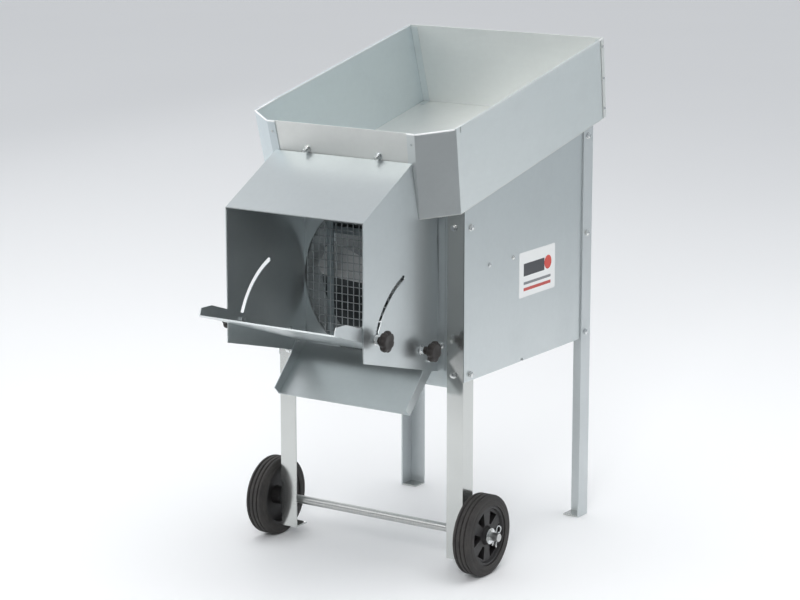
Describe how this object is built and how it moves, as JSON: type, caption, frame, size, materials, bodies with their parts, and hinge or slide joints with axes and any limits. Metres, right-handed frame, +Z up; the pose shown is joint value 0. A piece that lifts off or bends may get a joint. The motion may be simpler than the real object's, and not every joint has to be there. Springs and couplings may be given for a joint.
{
  "type": "fruit winnower and leaf separator",
  "caption": "Galvanised sheet machine on two wheels: tilted hopper over a hood with a fan behind mesh, a clamped deflector flap and a fruit chute.",
  "frame": {"origin": "on the ground under the middle of the whole machine's box", "axes": "+Z up, -Y to the hood and flap at the front, +X to the machine's right-hand side as seen from the front with X to the right"},
  "size_m": [0.546, 0.8326, 0.95],
  "materials": {
    "leg_steel": "galvanised",
    "galvanised_sheet": "galvanised, semi-gloss",
    "galvanised_wire": "galvanised",
    "bright_zinc": "bright zinc",
    "axle_steel": "zinc plated",
    "black_knob": "moulded, satin",
    "fan_aluminium": "satin",
    "motor_aluminium": "cast, painted",
    "motor_core": "laminated steel and windings",
    "black_plastic": "moulded",
    "start_green": "glossy",
    "stop_red": "glossy",
    "tyre": "solid rubber",
    "rim_plastic": "moulded",
    "sticker_film": "printed film"
  },
  "bodies": {
    "frame": {"leg_front_right": "leg_steel", "leg_front_left": "leg_steel", "leg_rear_right": "leg_steel", "leg_rear_left": "leg_steel", "foot_plates": "leg_steel", "side_panel_right": "galvanised_sheet", "side_panel_left": "galvanised_sheet", "front_plate": "galvanised_sheet", "rear_panel": "galvanised_sheet", "bottom_pan": "galvanised_sheet", "hood_shell": "galvanised_sheet", "hopper_floor": "galvanised_sheet", "hopper_side_right": "galvanised_sheet", "hopper_side_left": "galvanised_sheet", "hopper_back": "galvanised_sheet", "hopper_front": "galvanised_sheet", "chute": "galvanised_sheet", "motor_shelf": "galvanised_sheet", "fan_shroud": "galvanised_sheet", "guard_stays": "galvanised_sheet", "mesh_guard": "galvanised_wire", "guard_ring": "galvanised_wire", "rear_guard": "galvanised_wire", "hopper_rivets": "bright_zinc", "gate_bolts": "bright_zinc", "leg_bolts": "bright_zinc", "hood_bolts": "bright_zinc", "chute_bolts": "bright_zinc", "shelf_screws": "bright_zinc", "axle_washers": "bright_zinc", "hairpins": "bright_zinc", "axle": "axle_steel", "motor_bearings": "axle_steel", "motor_body": "motor_aluminium", "motor_foot": "motor_aluminium", "motor_cap_front": "motor_aluminium", "motor_cap_rear": "motor_aluminium", "motor_stator": "motor_core", "terminal_box": "black_plastic", "switch_box": "black_plastic", "cable_gland": "black_plastic", "sticker": "sticker_film"},
    "flap": {"flap": "galvanised_sheet", "flap_studs": "bright_zinc"},
    "fan": {"fan_wheel": "fan_aluminium", "hub_nut": "bright_zinc", "motor_shaft": "axle_steel", "motor_rotor": "motor_core"},
    "wheel_right": {"tyre_right": "tyre", "rim_right": "rim_plastic"},
    "wheel_left": {"tyre_left": "tyre", "rim_left": "rim_plastic"},
    "feed_gate": {"feed_gate": "galvanised_sheet"},
    "start_button": {"start_button": "start_green"},
    "stop_button": {"stop_button": "stop_red"},
    "pivot_knob_right": {"pivot_knob_right": "black_knob"},
    "pivot_knob_left": {"pivot_knob_left": "black_knob"},
    "clamp_knob_right": {"clamp_knob_right": "black_knob"},
    "clamp_knob_left": {"clamp_knob_left": "black_knob"}
  },
  "joints": [
    {"name": "flap_tilt", "type": "hinge", "parent": "frame", "child": "flap", "pos_m": [0, -0.1451, 0.429], "axis": [-1, 0, 0], "range_deg": [0, 50]},
    {"name": "pivot_knob_right_turn", "type": "hinge", "parent": "flap", "child": "pivot_knob_right", "pos_m": [0, -0.1451, 0.429], "axis": [1, 0, 0], "continuous": true},
    {"name": "pivot_knob_left_turn", "type": "hinge", "parent": "flap", "child": "pivot_knob_left", "pos_m": [0, -0.1451, 0.429], "axis": [1, 0, 0], "continuous": true},
    {"name": "clamp_knob_right_turn", "type": "hinge", "parent": "flap", "child": "clamp_knob_right", "pos_m": [0, -0.29293, 0.47561], "axis": [1, 0, 0], "continuous": true},
    {"name": "clamp_knob_left_turn", "type": "hinge", "parent": "flap", "child": "clamp_knob_left", "pos_m": [0, -0.29293, 0.47561], "axis": [1, 0, 0], "continuous": true},
    {"name": "fan_spin", "type": "hinge", "parent": "frame", "child": "fan", "pos_m": [0, -0.0541, 0.527], "axis": [0, 1, 0], "continuous": true},
    {"name": "wheel_right_spin", "type": "hinge", "parent": "frame", "child": "wheel_right", "pos_m": [0, -0.0725, 0.0762], "axis": [1, 0, 0], "continuous": true},
    {"name": "wheel_left_spin", "type": "hinge", "parent": "frame", "child": "wheel_left", "pos_m": [0, -0.0725, 0.0762], "axis": [1, 0, 0], "continuous": true},
    {"name": "gate_slide", "type": "slide", "parent": "frame", "child": "feed_gate", "axis": [0, -0.2079, 0.9781], "range_m": [-0.02, 0.03]},
    {"name": "start_press", "type": "slide", "parent": "frame", "child": "start_button", "axis": [1, 0, 0], "range_m": [0, 0.003], "stiffness_N_per_m": 400, "springref_m": -0.002},
    {"name": "stop_press", "type": "slide", "parent": "frame", "child": "stop_button", "axis": [1, 0, 0], "range_m": [0, 0.003], "stiffness_N_per_m": 400, "springref_m": -0.002}
  ]
}
